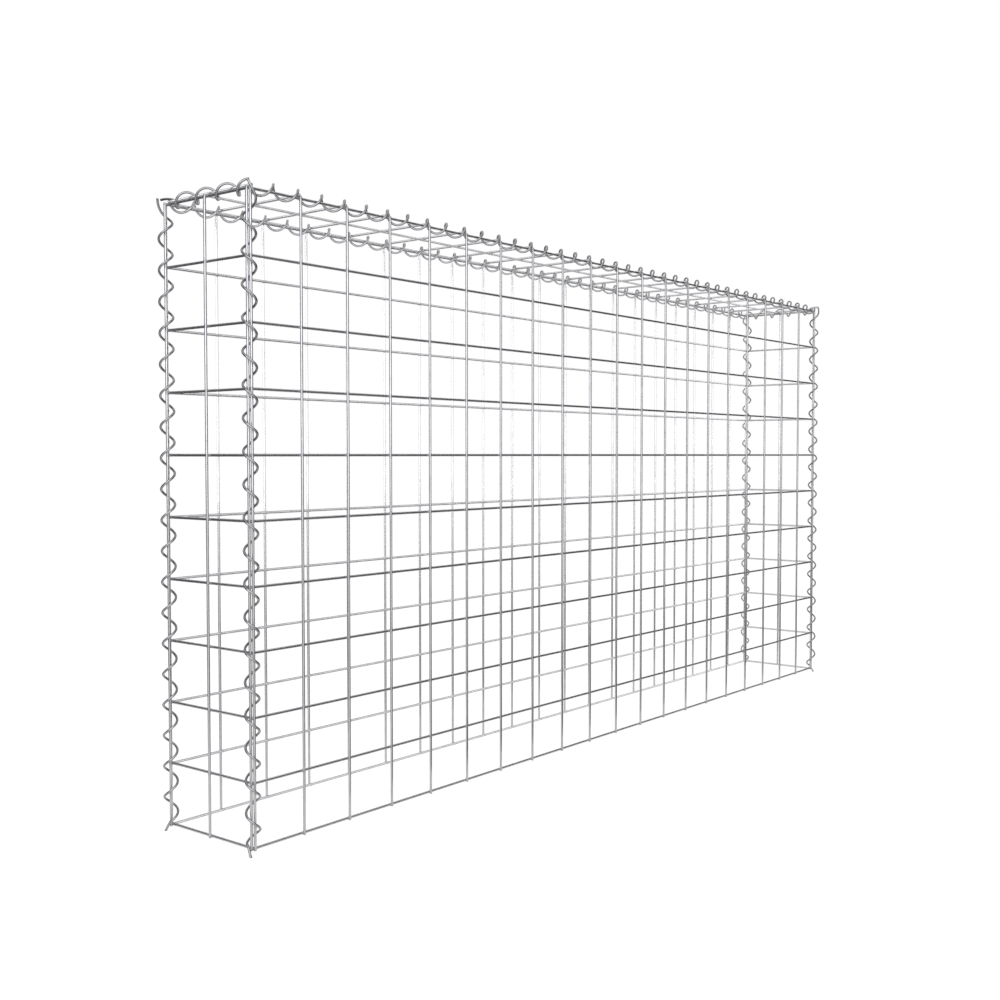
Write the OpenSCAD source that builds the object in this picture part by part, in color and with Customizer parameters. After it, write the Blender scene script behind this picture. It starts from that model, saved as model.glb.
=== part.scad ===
// Empty gabion basket of welded wire mesh.
// Five flat mesh panels (front, back, two ends and a lid) are laced together along
// their edges by eight wire spirals. The bottom is open.
// The basket runs along X, its front faces -Y, and the floor is Z = 0.

/* [Basket] */
// Mesh field, wire centre to wire centre, both ways
field = 100; // [90:5:120]
// Fields along the length
fields_long = 20; // [4:1:30]
// Fields up the height
fields_high = 10; // [4:1:12]
// Fields through the depth
fields_deep = 2; // [2:1:10]

/* [Wire] */
// Diameter of the mesh wires
mesh_wire = 4.5; // [4.3:0.1:4.8]
// Depth that crossing wires sink into each other at a weld
weld_sink = 0.6; // [0.4:0.1:0.8]
// Cut end of a wire past the centre of the last wire that it crosses
wire_stub = 2.5; // [2.4:0.1:2.6]

/* [Spirals] */
// Diameter of the spiral wire
spiral_wire = 4; // [3.5:0.1:4.2]
// Radius of a spiral, measured to the middle of its wire
spiral_r = 10.6; // [10.4:0.1:11]

/* [Corners] */
// Height of the lowest mesh wires over the floor, where the spiral tails stand
foot_h = 10; // [9:0.5:14]
// Gap between the wires of two panels that meet
panel_gap = 0.3; // [0.2:0.05:0.4]
// Gap between the lid wires and the panels under them
lid_gap = 0.5; // [0.5:0.05:0.7]
// Distance of a corner spiral's middle outside the panels, both ways
corner_out = 2; // [1.8:0.1:2.5]
// Rise of a top spiral's middle over the top wires of the panels
edge_rise = 2; // [1.8:0.1:2.2]

/* [Hidden] */

mesh_colour = [0.74, 0.74, 0.77];
spiral_colour = [0.62, 0.62, 0.66];

bar_sides = 8;
tube_sides = 6;
rings_per_turn = 8;
rings_per_end = 4;

half_l = field * fields_long / 2;
half_d = field * fields_deep / 2;
mesh_h = field * fields_high;
top_z = foot_h + mesh_h;

// Distance between the middles of two wires welded across each other
weld_step = mesh_wire - weld_sink;
lid_z = top_z + lid_gap + weld_sink;
lid_half_d = half_d - mesh_wire - panel_gap;
lid_end_x = half_l - mesh_wire;

// Every spiral makes two turns to a field and is left-handed, or a mirror copy of one that is
pitch = field / 2;
edge_z = top_z + edge_rise;
end_span = 0.25;

// Spiral ends: [drawn out along the spiral, change of radius at the tip, change half way to it]
plain_end = [0, 0, 0];
tail_end = [foot_h - 0.07 * pitch, -1.2, -3];
peak_end = [0.31 * pitch, 1.5, 1.5];
function tucked_end(drawn) = [drawn, -3, 0];

// Corner spirals: directions of the tail tip and of the peak tip, seen from above
tail_angle = -153;
peak_angle = -135;
corner_turns = 2 * fields_high - (peak_angle - tail_angle) / 360;

// Top spirals: places of a crown, the highest point of a turn, measured from a mesh wire
front_crown = -0.04 * pitch;
back_crown = 0.056 * pitch;
end_crown = -0.038 * pitch;
// How far the front and back top spirals stop short of the basket's ends
edge_cut = 0.2 * pitch;
// How far the drawn out tips of the end spirals reach past the panels
tip_reach = 0.322 * pitch;

// Octagonal bar along Z with its flats square to X and Y
module bar(length) {
    rotate([0, 0, 180 / bar_sides])
        cylinder(h = length, r = mesh_wire / 2 / cos(180 / bar_sides), $fn = bar_sides);
}

module bar_z(x, y, z_low, z_high) {
    translate([x, y, z_low])
        bar(z_high - z_low);
}

module bar_x(y, z, half_length) {
    translate([-half_length, y, z])
        rotate([0, 90, 0])
            bar(2 * half_length);
}

module bar_y(x, z, half_length) {
    translate([x, half_length, z])
        rotate([90, 0, 0])
            bar(2 * half_length);
}

// Plan of a panel's level wires: their ends are mitred where two panels meet at a corner
module mitred_plan(half_length) {
    gap = panel_gap / sqrt(2);
    outer = half_length + mesh_wire - gap;
    inner = half_length - mesh_wire - gap;
    translate([0, 0, foot_h - mesh_wire])
        linear_extrude(mesh_h + 2 * mesh_wire)
            polygon([
                [-outer, -mesh_wire], [outer, -mesh_wire],
                [inner, mesh_wire], [-inner, mesh_wire]
            ]);
}

// Upright mesh panel along X at Y = 0: uprights on the -Y side, level wires behind them
module upright_panel(fields, half_length) {
    for (i = [0:fields])
        bar_z(i * field - half_length, -weld_step, foot_h - wire_stub, top_z + wire_stub);
    intersection() {
        union() {
            for (j = [0:fields_high])
                bar_x(0, foot_h + j * field, half_length + mesh_wire);
        }
        mitred_plan(half_length);
    }
}

// How far t, in turns, has gone into the first or last quarter turn of a spiral, from 0 to 1 at the tip
function into_start(t) = max(0, 1 - t / end_span);
function into_stop(t, turns) = max(0, 1 - (turns - t) / end_span);
function swell(u, tip, half_way) = tip * u * u + 4 * half_way * u * (1 - u);

// Middle of a left-hand spiral's wire after t turns about Z, for the ends described above
function spiral_point(t, turns, first_angle, start, stop) =
    let (
        a = into_start(t),
        b = into_stop(t, turns),
        radius = spiral_r + swell(a, start[1], start[2]) + swell(b, stop[1], stop[2]),
        angle = first_angle - 360 * t
    )
    [
        radius * cos(angle),
        radius * sin(angle),
        pitch * t + start[0] * (1 - a * a) + stop[0] * b * b
    ];

// Ring of points round the wire at a point. A level ring lies flat instead of square to the wire.
function spiral_ring(middle, along, level) =
    let (
        tangent = along / norm(along),
        side = cross(tangent, [middle.x, middle.y, 0]),
        across = side / norm(side),
        outward = cross(across, tangent),
        u = level ? outward - tangent * outward.z / tangent.z : outward,
        v = level ? across - tangent * across.z / tangent.z : across
    )
    [
        for (k = [0:tube_sides - 1])
            let (turn = 360 * k / tube_sides)
            middle + spiral_wire / 2 * (cos(turn) * u + sin(turn) * v)
    ];

// Left-hand wire spiral up from Z = 0. A level start is cut flat to stand on.
module spiral(turns, first_angle, start, stop, level_start) {
    small = 0.01;
    body_turns = turns - 2 * end_span;
    body_steps = ceil(body_turns * rings_per_turn);
    places = concat(
        [for (i = [0:rings_per_end - 1]) end_span * i / rings_per_end],
        [for (i = [0:body_steps]) end_span + body_turns * i / body_steps],
        [for (i = [1:rings_per_end]) turns - end_span + end_span * i / rings_per_end]
    );
    steps = len(places) - 1;
    points = [
        for (i = [0:steps])
            let (
                t = places[i],
                before = spiral_point(t - small, turns, first_angle, start, stop),
                after = spiral_point(t + small, turns, first_angle, start, stop)
            )
            each spiral_ring(
                spiral_point(t, turns, first_angle, start, stop),
                after - before,
                level_start && i == 0
            )
    ];
    sides = [
        for (i = [0:steps - 1], k = [0:tube_sides - 1])
            let (
                a = i * tube_sides + k,
                b = i * tube_sides + (k + 1) % tube_sides
            )
            each [
                [a, a + tube_sides, b + tube_sides],
                [a, b + tube_sides, b]
            ]
    ];
    first_cap = [for (k = [0:tube_sides - 1]) k];
    last_cap = [for (k = [0:tube_sides - 1]) (steps + 1) * tube_sides - 1 - k];
    polyhedron(points = points, faces = concat([first_cap], sides, [last_cap]));
}

// Spiral round the uprights of the front left corner
module corner_spiral() {
    translate([-half_l - corner_out, -half_d - corner_out, 0])
        spiral(corner_turns, tail_angle, tail_end, peak_end, true);
}

// Spiral along a top edge, laid along Z with its crowns towards -X, between two places on the edge.
// An end that is drawn out reaches past its place.
module edge_spiral(from, to, crown, start, stop) {
    translate([0, 0, from - start[0]])
        spiral((to - from) / pitch, 180 - 360 * (from - crown) / pitch, start, stop, false);
}

module front_panel() {
    color(mesh_colour)
        translate([0, -half_d, 0])
            upright_panel(fields_long, half_l);
}

module back_panel() {
    color(mesh_colour)
        translate([0, half_d, 0])
            rotate([0, 0, 180])
                upright_panel(fields_long, half_l);
}

module left_end_panel() {
    color(mesh_colour)
        translate([-half_l, 0, 0])
            rotate([0, 0, -90])
                upright_panel(fields_deep, half_d);
}

module right_end_panel() {
    color(mesh_colour)
        translate([half_l, 0, 0])
            rotate([0, 0, 90])
                upright_panel(fields_deep, half_d);
}

// Lid: cross wires on top, long wires under them between the panels
module lid_panel() {
    color(mesh_colour) {
        for (k = [0:fields_deep])
            bar_x(lid_half_d * (2 * k / fields_deep - 1), lid_z, half_l - mesh_wire / 2 - panel_gap);
        for (i = [0:fields_long])
            bar_y(max(-lid_end_x, min(lid_end_x, i * field - half_l)), lid_z + weld_step, half_d + wire_stub);
    }
}

module front_left_spiral() {
    color(spiral_colour)
        corner_spiral();
}

module back_left_spiral() {
    color(spiral_colour)
        mirror([0, 1, 0])
            corner_spiral();
}

module front_right_spiral() {
    color(spiral_colour)
        mirror([1, 0, 0])
            corner_spiral();
}

module back_right_spiral() {
    color(spiral_colour)
        rotate([0, 0, 180])
            corner_spiral();
}

module front_top_spiral() {
    color(spiral_colour)
        translate([0, -half_d, edge_z])
            rotate([0, 90, 0])
                edge_spiral(edge_cut - half_l, half_l - edge_cut, front_crown, plain_end, plain_end);
}

module back_top_spiral() {
    color(spiral_colour)
        translate([0, half_d, edge_z])
            rotate([0, 90, 0])
                edge_spiral(edge_cut - half_l, half_l - edge_cut, back_crown, plain_end, plain_end);
}

module left_top_spiral() {
    color(spiral_colour)
        translate([-half_l, 0, edge_z])
            rotate([0, 90, 90])
                edge_spiral(
                    end_crown - half_d, half_d + end_crown, end_crown,
                    plain_end, tucked_end(tip_reach - end_crown)
                );
}

module right_top_spiral() {
    color(spiral_colour)
        translate([half_l, 0, edge_z])
            rotate([0, 90, 90])
                edge_spiral(
                    end_crown - half_d, half_d + end_crown, end_crown,
                    tucked_end(tip_reach + end_crown), plain_end
                );
}

front_panel();
back_panel();
left_end_panel();
right_end_panel();
lid_panel();
front_left_spiral();
back_left_spiral();
front_right_spiral();
back_right_spiral();
front_top_spiral();
back_top_spiral();
left_top_spiral();
right_top_spiral();
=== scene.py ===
"""Looks of an empty gabion basket: round galvanised wires with their welds, laced by wire coils."""
import math

import bpy
import numpy as np
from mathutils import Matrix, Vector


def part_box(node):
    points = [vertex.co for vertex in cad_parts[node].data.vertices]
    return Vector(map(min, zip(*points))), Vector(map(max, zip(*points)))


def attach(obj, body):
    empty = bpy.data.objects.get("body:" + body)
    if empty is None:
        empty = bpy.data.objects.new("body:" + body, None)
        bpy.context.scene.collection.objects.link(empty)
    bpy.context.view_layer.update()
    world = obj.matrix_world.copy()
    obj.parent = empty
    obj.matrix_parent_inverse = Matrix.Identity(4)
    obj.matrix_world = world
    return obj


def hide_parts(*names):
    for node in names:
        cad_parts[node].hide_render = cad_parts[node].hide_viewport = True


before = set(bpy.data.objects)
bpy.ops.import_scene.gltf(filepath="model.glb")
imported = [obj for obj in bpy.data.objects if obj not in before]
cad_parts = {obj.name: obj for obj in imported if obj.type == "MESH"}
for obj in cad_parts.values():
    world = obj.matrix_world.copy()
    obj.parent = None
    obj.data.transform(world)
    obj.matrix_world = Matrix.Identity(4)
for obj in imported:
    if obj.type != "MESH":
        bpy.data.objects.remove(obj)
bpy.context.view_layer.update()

# Sizes, in metres
MM = 0.001
FIELD = 0.1  # mesh field, wire centre to wire centre
WIRE_R = 0.00225  # radius of the mesh wires
WELD_STEP = 0.0039  # between the centres of two wires welded across each other
STUB = 0.0025  # cut end of a wire past the last wire that it crosses
PANEL_GAP = 0.0003  # between the wires of two panels that meet
COIL_WIRE_R = 0.002  # radius of the coil wire
COIL_R = 0.0106  # radius of a coil, to the centre of its wire
PITCH = FIELD / 2  # rise of a coil in one turn
CORNER_OUT = 0.002  # from the panels out to the axis of a corner coil, both ways
EDGE_RISE = 0.002  # from the panels' top wires up to the axis of a top coil

front_low, front_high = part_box("front_panel")
half_l = front_high.x - WIRE_R
half_d = -front_high.y + WIRE_R
base_z = front_low.z + STUB
top_z = front_high.z - STUB
lid_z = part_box("lid_panel")[0].z + WIRE_R
edge_z = top_z + EDGE_RISE
fields_long = round(2 * half_l / FIELD)
fields_deep = round(2 * half_d / FIELD)
fields_high = round((top_z - base_z) / FIELD)

X = np.array([1.0, 0.0, 0.0])
Y = np.array([0.0, 1.0, 0.0])
Z = np.array([0.0, 0.0, 1.0])

rng = np.random.default_rng(7)

# Skin of the wires
UV_SPREAD = 10.0  # range of the places where the wires' draw lines start
SHARP_ANGLE = math.radians(50)


class Wirework:
    """Collects the tubes and weld beads of one piece, with what its material reads at each point."""

    def __init__(self):
        self.points = []
        self.faces = []
        self.face_uvs = []
        self.weld = []
        self.tip = []
        self.count = 0

    def add(self, points, faces, face_uvs, weld, tip):
        self.points.append(points)
        self.faces.extend([tuple(int(i) + self.count for i in face) for face in faces])
        self.face_uvs.extend(face_uvs)
        self.weld.append(weld)
        self.tip.append(tip)
        self.count += len(points)

    def add_tube(self, rings, along, weld, tip, wire_r):
        """Skins rings of points and closes both ends.

        along is each ring's place on the wire, for the UVs.
        """
        steps, sides = rings.shape[:2]
        start = rng.uniform(0, UV_SPREAD)
        around = 2 * math.pi * wire_r * np.arange(sides + 1) / sides
        faces = []
        face_uvs = []
        for i in range(steps - 1):
            for k in range(sides):
                n = (k + 1) % sides
                faces.append((i * sides + k, i * sides + n, (i + 1) * sides + n, (i + 1) * sides + k))
                u, v = start + along[i], start + along[i + 1]
                face_uvs.extend([(u, around[k]), (u, around[k + 1]), (v, around[k + 1]), (v, around[k])])
        first = list(range(sides))[::-1]
        last = [(steps - 1) * sides + k for k in range(sides)]
        for cap, place in ((first, along[0]), (last, along[-1])):
            faces.append(cap)
            face_uvs.extend([(start + place, around[k % sides]) for k in cap])
        self.add(rings.reshape(-1, 3), faces, face_uvs, np.repeat(weld, sides), np.repeat(tip, sides))

    def finish(self, name, node, material):
        """Makes the piece that stands for a CAD node."""
        mesh = bpy.data.meshes.new(name)
        mesh.from_pydata(np.concatenate(self.points).tolist(), [], self.faces)
        layer = mesh.uv_layers.new(name="wire")
        layer.data.foreach_set("uv", np.array(self.face_uvs, np.float32).ravel())
        for label, values in (("weld", self.weld), ("tip", self.tip)):
            attribute = mesh.attributes.new(label, "FLOAT", "POINT")
            attribute.data.foreach_set("value", np.concatenate(values).astype(np.float32))
        mesh.shade_smooth()
        mesh.set_sharp_from_angle(angle=SHARP_ANGLE)
        mesh.materials.append(material)
        piece = bpy.data.objects.new(name, mesh)
        bpy.context.scene.collection.objects.link(piece)
        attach(piece, "root")
        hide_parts(node)
        return piece


# Straight mesh wires
WIRE_SIDES = 12
WELD_REACH = 4.5 * MM
BURN_REACH = 2.2 * MM
FLAT_REACH = 2.6 * MM
FLAT_DEPTH = 0.2 * MM
FLAT_SPREAD = 1.03  # width of the wire at a flat, as a share of its diameter
TIP_REACH = 0.5 * MM
TIP_TAPER = 0.86  # radius of a sheared tip, as a share of the wire's
TIP_SKEW = 0.12  # usual slope of a sheared tip
PLACE_DIGITS = 6
PLACE_ERROR = 1e-6


def straight_wire(work, start, along, length, out, welds, flat_side, mitre):
    """Adds a wire from start. Its electrode flats at the welds face out times flat_side.

    mitre is the slope of the end cuts over out: with 0 the wire is sheared off, about square.
    """
    across = np.cross(along, out)
    places = [0.0, TIP_REACH, length - TIP_REACH, length]
    for weld in welds:
        places += [weld + d for d in (-WELD_REACH, -FLAT_REACH, 0.0, FLAT_REACH, WELD_REACH)]
    places = np.unique(np.round([s for s in places if 0 <= s <= length], PLACE_DIGITS))
    nearest = np.min(np.abs(places[:, None] - np.array(welds)[None, :]), axis=1)
    flat = nearest <= FLAT_REACH + PLACE_ERROR
    ends = (places == places[0]) | (places == places[-1])
    turn = 2 * math.pi * np.arange(WIRE_SIDES) / WIRE_SIDES
    rings = []
    for s, pressed, end in zip(places, flat, ends):
        radius = WIRE_R * (TIP_TAPER if end and not mitre else 1.0)
        outward = radius * np.cos(turn)
        sideways = radius * np.sin(turn) * (FLAT_SPREAD if pressed else 1.0)
        if pressed:
            limit = WIRE_R - FLAT_DEPTH
            outward = np.minimum(outward, limit) if flat_side > 0 else np.maximum(outward, -limit)
        shift = np.zeros(WIRE_SIDES)
        if end:
            sign = -1.0 if s == places[0] else 1.0
            shift = sign * mitre * outward
            if not mitre:
                shift = rng.normal(0, TIP_SKEW) * outward + rng.normal(0, TIP_SKEW) * sideways
        rings.append(
            start + np.outer(s + shift, along) + np.outer(outward, out) + np.outer(sideways, across)
        )
    heat = np.exp(-(nearest / BURN_REACH) ** 2)
    bare = np.where(ends, 1.0, 0.0)
    work.add_tube(np.array(rings), places, heat, bare, WIRE_R)


# Beads squeezed out at the welds: half their width and half their thickness are ranges, in millimetres
BEAD_SIDES = 10
BEAD_LEVELS = 3
BEAD_HALF = (2.3, 2.7)
BEAD_HALF_THICK = (0.65, 0.85)
BEAD_RAGGED = 0.06


def weld_bead(work, centre, out, along):
    """Adds the flat bead of metal squeezed out between two crossing wires."""
    across = np.cross(along, out)
    wide = rng.uniform(*BEAD_HALF) * MM
    long = rng.uniform(*BEAD_HALF) * MM
    thick = rng.uniform(*BEAD_HALF_THICK) * MM
    turn = 2 * math.pi * np.arange(BEAD_SIDES) / BEAD_SIDES
    points = [centre - thick * out]
    for level in range(1, 2 * BEAD_LEVELS):
        rise = math.pi * level / (2 * BEAD_LEVELS)
        edge = math.sin(rise) * (1 + BEAD_RAGGED * rng.standard_normal(BEAD_SIDES))
        ring = np.outer(wide * edge * np.cos(turn), across) + np.outer(long * edge * np.sin(turn), along)
        points.extend(centre - thick * math.cos(rise) * out + ring)
    points.append(centre + thick * out)
    rings = 2 * BEAD_LEVELS - 1
    last = 1 + rings * BEAD_SIDES
    faces = []
    for k in range(BEAD_SIDES):
        n = (k + 1) % BEAD_SIDES
        faces.append((0, 1 + n, 1 + k))
        for level in range(rings - 1):
            low = 1 + level * BEAD_SIDES
            faces.append((low + k, low + n, low + BEAD_SIDES + n, low + BEAD_SIDES + k))
        high = last - BEAD_SIDES
        faces.append((last, high + k, high + n))
    points = np.array(points)
    uvs = [tuple(points[i][:2]) for face in faces for i in face]
    work.add(points, faces, uvs, np.ones(len(points)), np.zeros(len(points)))


def mesh_panel(side, middle, along, out, fields, half_length, material):
    """A flat upright panel: uprights on its out side, level wires behind them with mitred ends."""
    work = Wirework()
    height = top_z - base_z
    rows = base_z + FIELD * np.arange(fields_high + 1)
    columns = FIELD * np.arange(fields + 1) - half_length
    upright_welds = FIELD * np.arange(fields_high + 1) + STUB
    for place in columns:
        foot = middle + along * place + out * WELD_STEP + Z * (base_z - STUB)
        straight_wire(work, foot, Z, height + 2 * STUB, out, upright_welds, flat_side=1, mitre=0)
    gap = PANEL_GAP / math.sqrt(2)
    level_welds = columns + half_length - gap
    for row in rows:
        end = middle - along * (half_length - gap) + Z * row
        straight_wire(work, end, along, 2 * (half_length - gap), out, level_welds, flat_side=-1, mitre=1)
        for place in columns:
            weld_bead(work, middle + along * place + out * WELD_STEP / 2 + Z * row, out, along)
    return work.finish(f"{side}_mesh", f"{side}_panel", material)


def lid_panel(material):
    """The lid: cross wires on top, long wires under them between the upright panels."""
    work = Wirework()
    end_x = half_l - 2 * WIRE_R
    lid_half_d = half_d - 2 * WIRE_R - PANEL_GAP
    cross_x = np.clip(FIELD * np.arange(fields_long + 1) - half_l, -end_x, end_x)
    long_y = np.linspace(-lid_half_d, lid_half_d, fields_deep + 1)
    long_half = half_l - WIRE_R - PANEL_GAP
    cross_half = half_d + STUB
    for y in long_y:
        start = np.array([-long_half, y, lid_z])
        straight_wire(work, start, X, 2 * long_half, Z, cross_x + long_half, flat_side=-1, mitre=0)
    for x in cross_x:
        start = np.array([x, -cross_half, lid_z + WELD_STEP])
        straight_wire(work, start, Y, 2 * cross_half, Z, long_y + cross_half, flat_side=1, mitre=0)
        for y in long_y:
            weld_bead(work, np.array([x, y, lid_z + WELD_STEP / 2]), Z, X)
    return work.finish("lid_mesh", "lid_panel", material)


# Coils that lace the edges. An end is drawn out, with a change of radius at its tip and half way to it.
COIL_SIDES = 12
RINGS_PER_TURN = 28
SMALL_TURN = 0.002
END_SPAN = 0.25
PLAIN_END = (0.0, 0.0, 0.0)
TAIL_END = (base_z - 0.07 * PITCH, -1.2 * MM, -3.0 * MM)
PEAK_END = (0.31 * PITCH, 1.5 * MM, 1.5 * MM)
TUCK = -3.0 * MM
TUCK_REACH = 0.322 * PITCH
TAIL_ANGLE = math.radians(-153)
PEAK_ANGLE = math.radians(-135)

# Top coils: places of a crown, the highest point of a turn, measured from a mesh wire
FRONT_CROWN = -0.04 * PITCH
BACK_CROWN = 0.056 * PITCH
END_CROWN = -0.038 * PITCH
EDGE_CUT = 0.2 * PITCH  # how far the front and back coils stop short of the basket's ends


def coil_points(t, turns, first_angle, start, stop):
    """Middle of a left-hand coil's wire after t turns about Z."""
    into_start = np.maximum(0, 1 - t / END_SPAN)
    into_stop = np.maximum(0, 1 - (turns - t) / END_SPAN)
    radius = COIL_R
    for end, u in ((start, into_start), (stop, into_stop)):
        radius = radius + end[1] * u * u + 4 * end[2] * u * (1 - u)
    angle = first_angle - 2 * math.pi * t
    height = PITCH * t + start[0] * (1 - into_start**2) + stop[0] * into_stop**2
    return np.stack([radius * np.cos(angle), radius * np.sin(angle), height], axis=1)


def coil(edge, turns, first_angle, start, stop, level_start, place, material):
    """A coil up from Z = 0, carried to its edge by place. A level start is cut flat on the floor."""
    work = Wirework()
    t = np.linspace(0, turns, math.ceil(turns * RINGS_PER_TURN) + 1)
    shape = (turns, first_angle, start, stop)
    middle = coil_points(t, *shape)
    tangent = coil_points(t + SMALL_TURN, *shape) - coil_points(t - SMALL_TURN, *shape)
    tangent /= np.linalg.norm(tangent, axis=1, keepdims=True)
    across = np.cross(tangent, middle * np.array([1.0, 1.0, 0.0]))
    across /= np.linalg.norm(across, axis=1, keepdims=True)
    outward = np.cross(across, tangent)
    turn = 2 * math.pi * np.arange(COIL_SIDES) / COIL_SIDES
    rings = middle[:, None] + COIL_WIRE_R * (
        np.cos(turn)[None, :, None] * outward[:, None] + np.sin(turn)[None, :, None] * across[:, None]
    )
    if level_start:
        drop = rings[0, :, 2] / tangent[0, 2]
        rings[0] -= drop[:, None] * tangent[0]
    along = np.concatenate([[0.0], np.cumsum(np.linalg.norm(np.diff(middle, axis=0), axis=1))])
    bare = np.zeros(len(t))
    bare[0] = 1.0
    bare[-1] = 1.0
    work.add_tube(place(rings), along, np.zeros(len(t)), bare, COIL_WIRE_R)
    return work.finish(f"{edge}_coil", f"{edge}_spiral", material)


def corner_coil(corner, side_x, side_y, material):
    """A coil round the uprights of one corner.

    The front left one is left-handed, and its neighbours mirror it.
    """
    turns = 2 * fields_high - (PEAK_ANGLE - TAIL_ANGLE) / (2 * math.pi)
    axis = np.array([-half_l - CORNER_OUT, -half_d - CORNER_OUT, 0.0])
    sides = np.array([-side_x, -side_y, 1.0])

    def place(rings):
        placed = (rings + axis) * sides
        return placed if side_x * side_y > 0 else placed[:, ::-1]

    return coil(corner, turns, TAIL_ANGLE, TAIL_END, PEAK_END, True, place, material)


def top_coil(side, middle, along, span, crown, start, stop, material):
    """A coil along a top edge through middle, over a span of that edge, with its crowns on top."""
    low, high = span
    aside = np.cross(along, -Z)

    def place(rings):
        drawn = rings[..., 2] + low - start[0]
        return (
            middle
            - rings[..., 0, None] * Z
            + rings[..., 1, None] * aside
            + drawn[..., None] * along
        )

    turns = (high - low) / PITCH
    first_angle = math.pi - 2 * math.pi * (low - crown) / PITCH
    return coil(f"{side}_top", turns, first_angle, start, stop, False, place, material)


# Zinc on drawn wire. A range is the span of the noise over which a look changes.
METALLIC = 0.85
DRAW_LINES = (15.0, 1600.0, 1.0)
PATCH_SCALE = 45.0
GRAIN_SCALE = 900.0
PATCH_SHARE = 0.6
COLOUR_RANGE = (0.36, 0.64)
ROUGH_RANGE = (0.35, 0.65)
BURN_RANGE = (0.3, 0.6)
LEAST_BURN = 0.35
BURNT_SHADE = 0.85
BURNT_ROUGHNESS = 0.2
BARE_STEEL = (0.2, 0.19, 0.18)
BUMP_STRENGTH = 0.1
BUMP_DEPTH = 0.1 * MM
GRAIN_RELIEF = 0.6


def zinc_material(name, light, dark, rough_low, rough_high):
    """Galvanised drawn wire: draw lines along it, mottled zinc, burnt zinc at the welds, bare cut tips."""
    material = bpy.data.materials.new(name)
    material.use_nodes = True
    nodes = material.node_tree.nodes
    links = material.node_tree.links
    shader = nodes["Principled BSDF"]
    shader.inputs["Metallic"].default_value = METALLIC

    def noise(vector, scale, detail, roughness):
        node = nodes.new("ShaderNodeTexNoise")
        node.inputs["Scale"].default_value = scale
        node.inputs["Detail"].default_value = detail
        node.inputs["Roughness"].default_value = roughness
        links.new(vector, node.inputs["Vector"])
        return node.outputs["Fac"]

    def span(value, from_low, from_high, to_low, to_high):
        node = nodes.new("ShaderNodeMapRange")
        labels = ("From Min", "From Max", "To Min", "To Max")
        for label, number in zip(labels, (from_low, from_high, to_low, to_high)):
            node.inputs[label].default_value = number
        links.new(value, node.inputs["Value"])
        return node.outputs["Result"]

    def mix(factor, first, second):
        node = nodes.new("ShaderNodeMix")
        node.data_type = "RGBA"
        links.new(factor, node.inputs["Factor"])
        for socket, colour in (("A", first), ("B", second)):
            target = next(s for s in node.inputs if s.name == socket and s.type == "RGBA")
            if isinstance(colour, tuple):
                target.default_value = (*colour, 1.0)
            else:
                links.new(colour, target)
        return next(s for s in node.outputs if s.type == "RGBA")

    def math_node(operation, first, second):
        node = nodes.new("ShaderNodeMath")
        node.operation = operation
        for socket, value in zip(node.inputs, (first, second)):
            if isinstance(value, (int, float)):
                socket.default_value = value
            else:
                links.new(value, socket)
        return node.outputs["Value"]

    def attribute(label):
        node = nodes.new("ShaderNodeAttribute")
        node.attribute_name = label
        return node.outputs["Fac"]

    place = nodes.new("ShaderNodeTexCoord")
    wire_uv = nodes.new("ShaderNodeUVMap")
    wire_uv.uv_map = "wire"
    stretch = nodes.new("ShaderNodeMapping")
    stretch.inputs["Scale"].default_value = DRAW_LINES
    links.new(wire_uv.outputs["UV"], stretch.inputs["Vector"])
    lines = noise(stretch.outputs["Vector"], scale=1.0, detail=3.0, roughness=0.6)
    patches = noise(place.outputs["Object"], PATCH_SCALE, detail=4.0, roughness=0.6)
    grain = noise(place.outputs["Object"], GRAIN_SCALE, detail=3.0, roughness=0.7)

    patch_part = math_node("MULTIPLY", patches, PATCH_SHARE)
    line_part = math_node("MULTIPLY", lines, 1 - PATCH_SHARE)
    mottle = math_node("ADD", patch_part, line_part)
    zinc = mix(span(mottle, *COLOUR_RANGE, 0.0, 1.0), dark, light)
    heat = math_node("MULTIPLY", attribute("weld"), span(grain, *BURN_RANGE, LEAST_BURN, 1.0))
    burnt = mix(heat, zinc, tuple(BURNT_SHADE * c for c in dark))
    colour = mix(attribute("tip"), burnt, BARE_STEEL)
    links.new(colour, shader.inputs["Base Color"])

    rough = span(mottle, *ROUGH_RANGE, rough_high, rough_low)
    worn = math_node("ADD", rough, math_node("MULTIPLY", heat, BURNT_ROUGHNESS))
    links.new(worn, shader.inputs["Roughness"])

    bump = nodes.new("ShaderNodeBump")
    bump.inputs["Strength"].default_value = BUMP_STRENGTH
    bump.inputs["Distance"].default_value = BUMP_DEPTH
    relief = math_node("ADD", lines, math_node("MULTIPLY", grain, GRAIN_RELIEF))
    links.new(relief, bump.inputs["Height"])
    links.new(bump.outputs["Normal"], shader.inputs["Normal"])
    return material


# Studio
FLOOR_SIDES = 96
FLOOR_GREY = 0.45
BOARD_COLOUR = (0.05, 0.05, 0.06)
BOARD_LIFT = 0.006
WHITE = (1.0, 1.0, 1.0)
COOL_WHITE = (0.95, 0.95, 1.0)
LAMP_SIZE = (7.0, 3.2)
BASKET_MIDDLE = (0.0, 0.0, 0.5)


def seen_or_reflected(tree, unseen, seen):
    """A strength that is seen for camera, glossy and transmission rays, and unseen for the others."""
    rays = tree.nodes.new("ShaderNodeLightPath")
    total = rays.outputs["Is Camera Ray"]
    for label in ("Is Glossy Ray", "Is Transmission Ray"):
        either = tree.nodes.new("ShaderNodeMath")
        either.operation = "MAXIMUM"
        tree.links.new(total, either.inputs[0])
        tree.links.new(rays.outputs[label], either.inputs[1])
        total = either.outputs["Value"]
    level = tree.nodes.new("ShaderNodeMapRange")
    level.inputs["To Min"].default_value = unseen
    level.inputs["To Max"].default_value = seen
    tree.links.new(total, level.inputs["Value"])
    return level.outputs["Result"]


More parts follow.
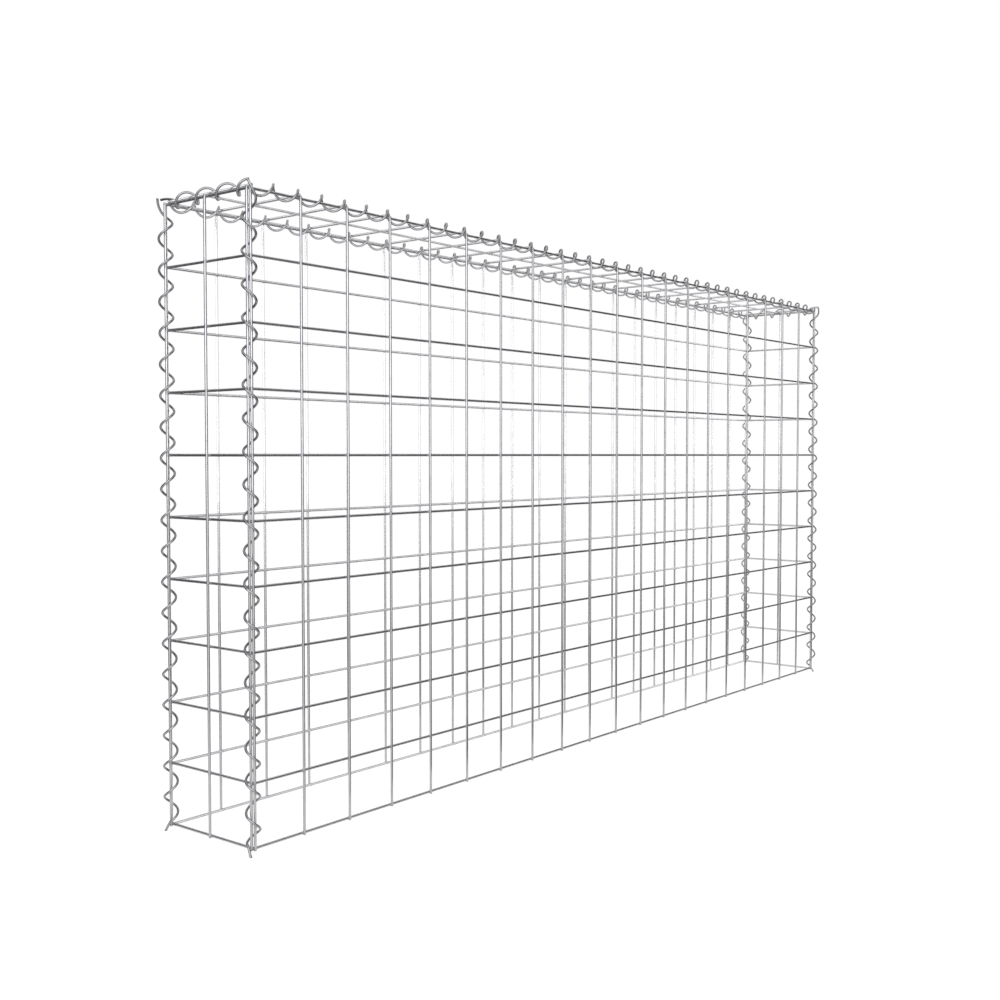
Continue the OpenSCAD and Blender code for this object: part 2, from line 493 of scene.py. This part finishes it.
def studio_world(lit, seen):
    """White world: lit is the level that lights the scene, seen is what the camera and the metal see."""
    world = bpy.data.worlds.new("studio")
    bpy.context.scene.world = world
    world.use_nodes = True
    background = world.node_tree.nodes["Background"]
    background.inputs["Color"].default_value = (*WHITE, 1.0)
    level = seen_or_reflected(world.node_tree, lit, seen)
    world.node_tree.links.new(level, background.inputs["Strength"])


def floor_disc(radius, fade_from, lift):
    """Pale round floor that fades into the white background and keeps the object's shadow.

    lift is the glow that the camera and the metal see on it.
    """
    mesh = bpy.data.meshes.new("floor")
    turn = 2 * math.pi * np.arange(FLOOR_SIDES) / FLOOR_SIDES
    ring = np.stack([radius * np.cos(turn), radius * np.sin(turn), 0 * turn], axis=1)
    mesh.from_pydata(ring.tolist(), [], [tuple(range(FLOOR_SIDES))])
    floor = bpy.data.objects.new("floor", mesh)
    bpy.context.scene.collection.objects.link(floor)
    material = bpy.data.materials.new("pale_floor")
    material.use_nodes = True
    nodes = material.node_tree.nodes
    links = material.node_tree.links
    nodes.remove(nodes["Principled BSDF"])
    output = nodes["Material Output"]
    matt = nodes.new("ShaderNodeBsdfDiffuse")
    matt.inputs["Color"].default_value = (FLOOR_GREY, FLOOR_GREY, FLOOR_GREY, 1.0)
    glow = nodes.new("ShaderNodeEmission")
    links.new(seen_or_reflected(material.node_tree, 0.0, lift), glow.inputs["Strength"])
    both = nodes.new("ShaderNodeAddShader")
    links.new(matt.outputs["BSDF"], both.inputs[0])
    links.new(glow.outputs["Emission"], both.inputs[1])
    place = nodes.new("ShaderNodeTexCoord")
    away = nodes.new("ShaderNodeVectorMath")
    away.operation = "LENGTH"
    links.new(place.outputs["Object"], away.inputs[0])
    fade = nodes.new("ShaderNodeMapRange")
    fade.inputs["From Min"].default_value = fade_from
    fade.inputs["From Max"].default_value = radius
    links.new(away.outputs["Value"], fade.inputs["Value"])
    clear = nodes.new("ShaderNodeBsdfTransparent")
    blend = nodes.new("ShaderNodeMixShader")
    links.new(fade.outputs["Result"], blend.inputs["Fac"])
    links.new(both.outputs["Shader"], blend.inputs[1])
    links.new(clear.outputs["BSDF"], blend.inputs[2])
    links.new(blend.outputs["Shader"], output.inputs["Surface"])
    mesh.materials.append(material)


def facing(place, target):
    """Rotation of a lamp at place, or of a board drawn in XY, that turns it to target."""
    aim = np.array(target) - np.array(place)
    yaw = math.atan2(-aim[0], aim[1])
    tilt = math.atan2(aim[2], math.hypot(aim[0], aim[1]))
    return (math.pi / 2 + tilt, 0.0, yaw)


def soft_box(name, place, brightness, target=BASKET_MIDDLE, size=LAMP_SIZE, colour=WHITE, only=None):
    """Area lamp at place that faces target, of a given brightness, on all pieces or on some only."""
    wide, high = size
    lamp = bpy.data.lights.new(name, "AREA")
    lamp.shape = "RECTANGLE"
    lamp.size = wide
    lamp.size_y = high
    lamp.energy = brightness * math.pi * wide * high
    lamp.color = colour
    box = bpy.data.objects.new(name, lamp)
    box.location = place
    box.rotation_euler = facing(place, target)
    bpy.context.scene.collection.objects.link(box)
    if only:
        group = bpy.data.collections.new(name)
        for piece in only:
            group.objects.link(piece)
        box.light_linking.receiver_collection = group


def dark_board(name, place, target, wide, high):
    """Dark board that shows only as a reflection in the wires."""
    mesh = bpy.data.meshes.new(name)
    w, h = wide / 2, high / 2
    mesh.from_pydata([(-w, -h, 0), (w, -h, 0), (w, h, 0), (-w, h, 0)], [], [(0, 1, 2, 3)])
    board = bpy.data.objects.new(name, mesh)
    board.location = place
    board.rotation_euler = facing(place, target)
    board.visible_camera = False
    board.visible_diffuse = False
    board.visible_shadow = False
    bpy.context.scene.collection.objects.link(board)
    material = bpy.data.materials.new(name)
    material.use_nodes = True
    shader = material.node_tree.nodes["Principled BSDF"]
    shader.inputs["Base Color"].default_value = (*BOARD_COLOUR, 1.0)
    shader.inputs["Roughness"].default_value = 1.0
    mesh.materials.append(material)


def standing_board(name, x, y, wide, high):
    """Dark board that stands on the floor and faces the basket."""
    dark_board(name, (x, y, high / 2), (0.0, 0.0, high / 2), wide, high)


def lying_board(name, x, y, wide, deep):
    """Dark board laid on the floor."""
    dark_board(name, (x, y, BOARD_LIFT), (x, y, 1.0), wide, deep)


# Camera fitted to the mesh lines of the photograph
SENSOR_MM = 36.0
LENS_MM = 43.52
CAMERA_PLACE = (-2.1900, -1.5315, 0.6103)
CAMERA_DOWN = 2.135
CAMERA_YAW = -51.385


def photo_camera():
    """Camera at the photograph's viewing angle."""
    lens = bpy.data.cameras.new("camera")
    lens.sensor_width = SENSOR_MM
    lens.lens = LENS_MM
    camera = bpy.data.objects.new("camera", lens)
    camera.location = CAMERA_PLACE
    camera.rotation_euler = (math.radians(90 - CAMERA_DOWN), 0.0, math.radians(CAMERA_YAW))
    bpy.context.scene.collection.objects.link(camera)
    bpy.context.scene.camera = camera


# Pieces. The far ones are listed, because some lamps light only them.
mesh_zinc = zinc_material(
    "mesh_zinc", light=(0.49, 0.492, 0.503), dark=(0.405, 0.407, 0.417), rough_low=0.12, rough_high=0.22
)
coil_zinc = zinc_material(
    "coil_zinc", light=(0.335, 0.337, 0.346), dark=(0.27, 0.272, 0.279), rough_low=0.11, rough_high=0.2
)

mesh_panel("front", -half_d * Y, X, -Y, fields_long, half_l, mesh_zinc)
mesh_panel("left_end", -half_l * X, Y, -X, fields_deep, half_d, mesh_zinc)
far_side = [
    mesh_panel("back", half_d * Y, X, Y, fields_long, half_l, mesh_zinc),
    mesh_panel("right_end", half_l * X, Y, X, fields_deep, half_d, mesh_zinc),
]
far_top = [lid_panel(mesh_zinc)]

for side_x, x_name in ((-1, "left"), (1, "right")):
    for side_y, y_name in ((-1, "front"), (1, "back")):
        piece = corner_coil(f"{y_name}_{x_name}", side_x, side_y, coil_zinc)
        if side_x > 0 and side_y > 0:
            far_side.append(piece)

top = edge_z * Z
long_span = (EDGE_CUT - half_l, half_l - EDGE_CUT)
end_span = (END_CROWN - half_d, half_d + END_CROWN)
front_tuck = (TUCK_REACH + END_CROWN, TUCK, 0.0)
back_tuck = (TUCK_REACH - END_CROWN, TUCK, 0.0)
top_coil("front", top - half_d * Y, X, long_span, FRONT_CROWN, PLAIN_END, PLAIN_END, coil_zinc)
back_coil = top_coil("back", top + half_d * Y, X, long_span, BACK_CROWN, PLAIN_END, PLAIN_END, coil_zinc)
top_coil("left", top - half_l * X, Y, end_span, END_CROWN, PLAIN_END, back_tuck, coil_zinc)
right_coil = top_coil("right", top + half_l * X, Y, end_span, END_CROWN, front_tuck, PLAIN_END, coil_zinc)
far_top += [back_coil, right_coil]

# Light: a key beside the camera, dark boards for the wires to mirror, and lamps for the far pieces alone
far_pieces = far_side + far_top
studio_world(lit=0.6, seen=1.0)
floor_disc(radius=9.0, fade_from=4.0, lift=0.75)
soft_box("key", place=(-3.6, -2.85, 1.9), brightness=1.75, colour=COOL_WHITE)
standing_board("right_board", x=4.3, y=-3.4, wide=7.0, high=4.8)
standing_board("left_board", x=-4.3, y=3.4, wide=7.0, high=4.2)
standing_board("back_board", x=4.4, y=3.5, wide=9.0, high=2.6)
lying_board("right_low_board", x=2.2, y=-1.7, wide=6.0, deep=2.9)
lying_board("left_low_board", x=-2.4, y=1.85, wide=6.0, deep=2.6)
soft_box("far_key", place=(-3.5, -2.75, 1.9), brightness=1.5, only=far_pieces)
soft_box("far_right", place=(3.9, -3.1, 1.7), brightness=2.3, only=far_pieces)
soft_box("far_left", place=(-3.9, 3.1, 1.7), brightness=2.3, only=far_pieces)
soft_box(
    "far_below", place=(0.0, 0.001, 0.012), brightness=0.4,
    target=(0.0, 0.0, 1.0), size=(6.0, 5.0), only=far_top,
)
photo_camera()
bpy.context.scene.view_settings.view_transform = "Standard"
